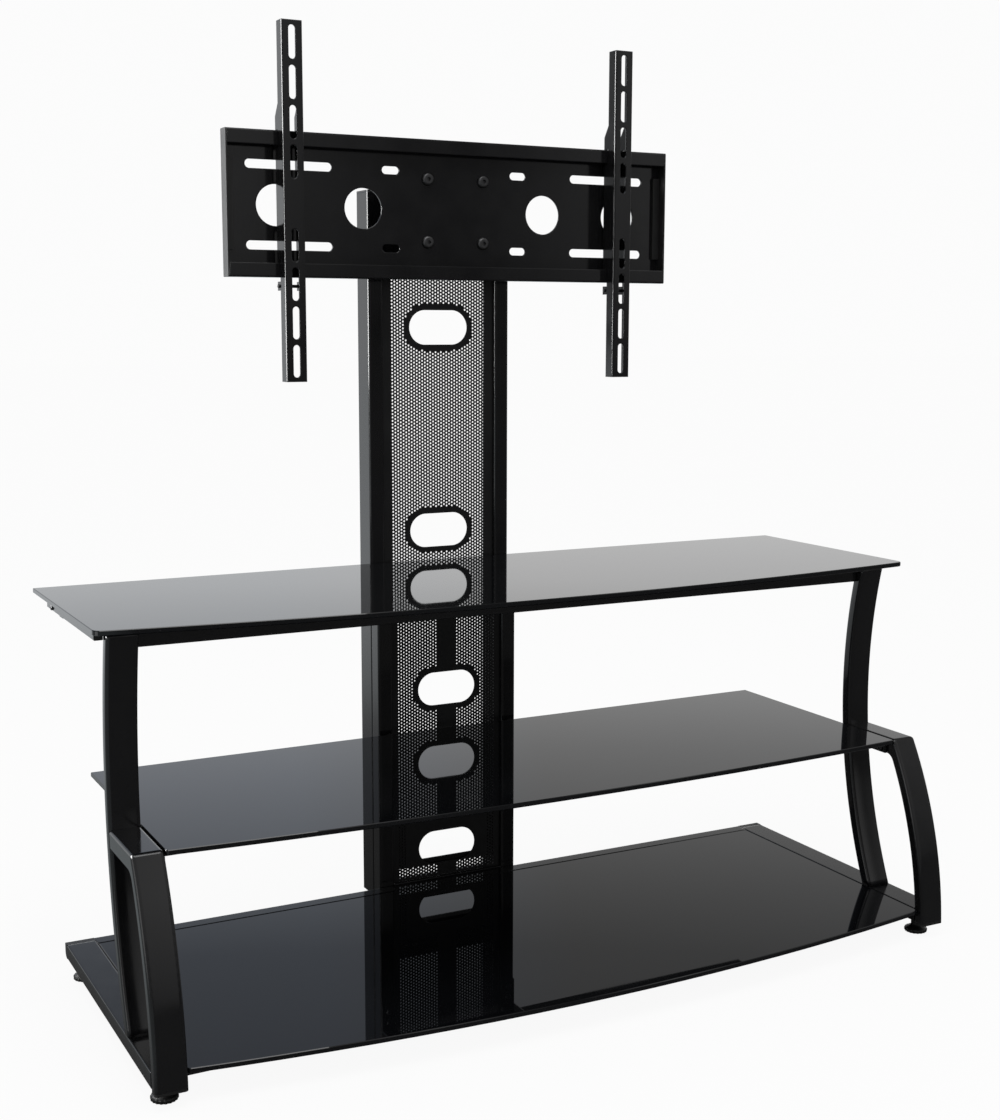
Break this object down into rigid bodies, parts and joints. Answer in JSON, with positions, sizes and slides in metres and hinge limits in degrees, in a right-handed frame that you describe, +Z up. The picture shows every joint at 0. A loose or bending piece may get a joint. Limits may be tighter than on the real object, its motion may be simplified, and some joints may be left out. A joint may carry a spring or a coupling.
{
  "type": "tv stand with mount",
  "caption": "Black glass-shelf tv stand: bent tube side frames, a perforated centre column and a slotted plate with sliding hook-on arms for a flat screen.",
  "frame": {"origin": "on the floor, under the middle of the stand's width and depth", "axes": "+Z up, +X to the right of a person facing the stand, +Y to its back"},
  "size_m": [1.1, 0.504, 1.1675],
  "materials": {
    "black_glass": "polished opaque black",
    "gloss_black": "gloss black powder coat",
    "black_screen": "satin black perforated sheet",
    "mount_black": "satin black powder coat",
    "black_plastic": "moulded black",
    "black_rubber": "matte",
    "black_bolts": "black zinc",
    "zinc_steel": "zinc plated"
  },
  "bodies": {
    "stand": {"top_glass": "black_glass", "middle_glass": "black_glass", "bottom_glass": "black_glass", "left_upright": "gloss_black", "right_upright": "gloss_black", "left_front_leg": "gloss_black", "right_front_leg": "gloss_black", "left_base_rail": "gloss_black", "right_base_rail": "gloss_black", "base_back_rail": "gloss_black", "base_bearers": "gloss_black", "left_top_rail": "gloss_black", "right_top_rail": "gloss_black", "front_apron": "gloss_black", "top_rear_beam": "gloss_black", "top_struts": "gloss_black", "left_stile": "gloss_black", "right_stile": "gloss_black", "left_front_stile": "gloss_black", "right_front_stile": "gloss_black", "frame_top_cross": "gloss_black", "frame_bottom_cross": "gloss_black", "bottom_brace": "gloss_black", "middle_brace": "gloss_black", "head_brace": "gloss_black", "lower_back_plate": "gloss_black", "side_shelf_brackets": "gloss_black", "rear_shelf_brackets": "gloss_black", "lower_screen": "black_screen", "upper_screen": "black_screen", "head_plate": "mount_black", "head_bracket": "mount_black", "mount_plate": "mount_black", "upright_caps": "black_plastic", "leg_caps": "black_plastic", "base_rail_caps": "black_plastic", "top_rail_caps": "black_plastic", "stile_caps": "black_plastic", "plate_end_caps": "black_plastic", "bottom_pads": "black_rubber", "top_pads": "black_rubber", "middle_pads": "black_rubber", "top_rail_strips": "black_rubber", "top_rail_bolts": "black_bolts", "bracket_screws": "black_bolts", "head_bolts": "black_bolts", "plate_bolts": "black_bolts", "base_bolts": "black_bolts", "beam_nuts": "zinc_steel", "hex_nuts": "zinc_steel"},
    "left_arm": {"left_arm": "mount_black", "left_lock_pin": "black_bolts"},
    "right_arm": {"right_arm": "mount_black", "right_lock_pin": "black_bolts"},
    "front_left_foot": {"front_left_foot": "black_plastic"},
    "front_right_foot": {"front_right_foot": "black_plastic"},
    "rear_left_foot": {"rear_left_foot": "black_plastic"},
    "rear_right_foot": {"rear_right_foot": "black_plastic"}
  },
  "joints": [
    {"name": "left_arm_slide", "type": "slide", "parent": "stand", "child": "left_arm", "axis": [1, 0, 0], "range_m": [-0.06, 0.135]},
    {"name": "right_arm_slide", "type": "slide", "parent": "stand", "child": "right_arm", "axis": [-1, 0, 0], "range_m": [-0.06, 0.135]},
    {"name": "front_left_foot_level", "type": "slide", "parent": "stand", "child": "front_left_foot", "axis": [0, 0, 1], "range_m": [-0.008, 0]},
    {"name": "front_right_foot_level", "type": "slide", "parent": "stand", "child": "front_right_foot", "axis": [0, 0, 1], "range_m": [-0.008, 0]},
    {"name": "rear_left_foot_level", "type": "slide", "parent": "stand", "child": "rear_left_foot", "axis": [0, 0, 1], "range_m": [-0.008, 0]},
    {"name": "rear_right_foot_level", "type": "slide", "parent": "stand", "child": "rear_right_foot", "axis": [0, 0, 1], "range_m": [-0.008, 0]}
  ]
}
